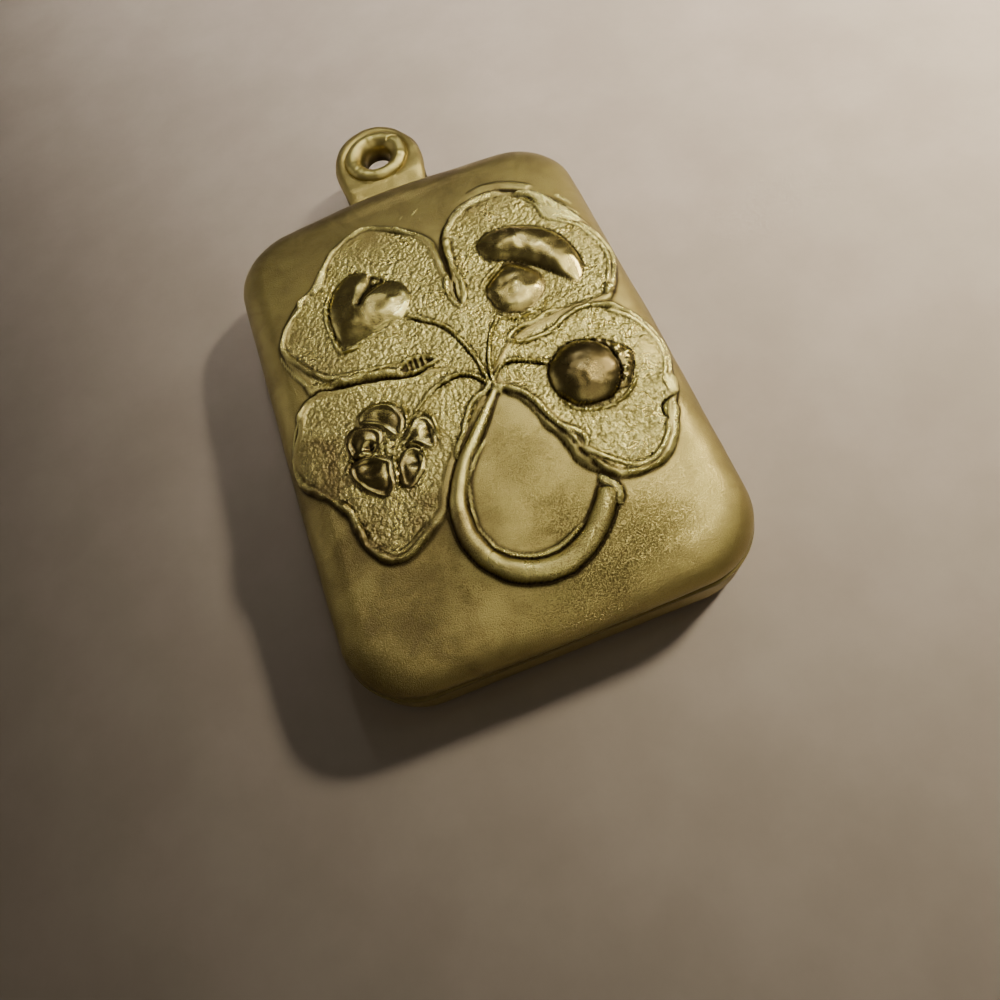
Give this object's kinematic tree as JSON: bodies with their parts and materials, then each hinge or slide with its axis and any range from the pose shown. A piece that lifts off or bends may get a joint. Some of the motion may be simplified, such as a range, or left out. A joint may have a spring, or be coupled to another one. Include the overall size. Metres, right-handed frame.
{
  "type": "rectangular swivel locket pendant",
  "caption": "Rectangular brass locket pendant: two hollow covers that swivel about an eyelet at the top, with a clover and lucky charms in relief.",
  "frame": {"origin": "middle of the flat back, on the surface that the locket lies on", "axes": "+X to the right of the decorated face, +Y towards the eyelet, +Z out of the decorated face"},
  "size_m": [0.026, 0.0444, 0.0076],
  "materials": {
    "back_cover": "raw sheet brass, dulled and slightly tarnished",
    "front_cover": "raw stamped brass, matt field, stippled leaves, worn bright edges",
    "eyelet": "raw brass, rolled and rubbed bright"
  },
  "bodies": {
    "back": {"back_cover": "back_cover", "eyelet": "eyelet"},
    "front": {"front_cover": "front_cover"}
  },
  "joints": [
    {"name": "cover_swivel", "type": "hinge", "parent": "back", "child": "front", "pos_m": [0.00015, 0.02285, 0.0035], "axis": [0, 0, 1], "continuous": true}
  ]
}
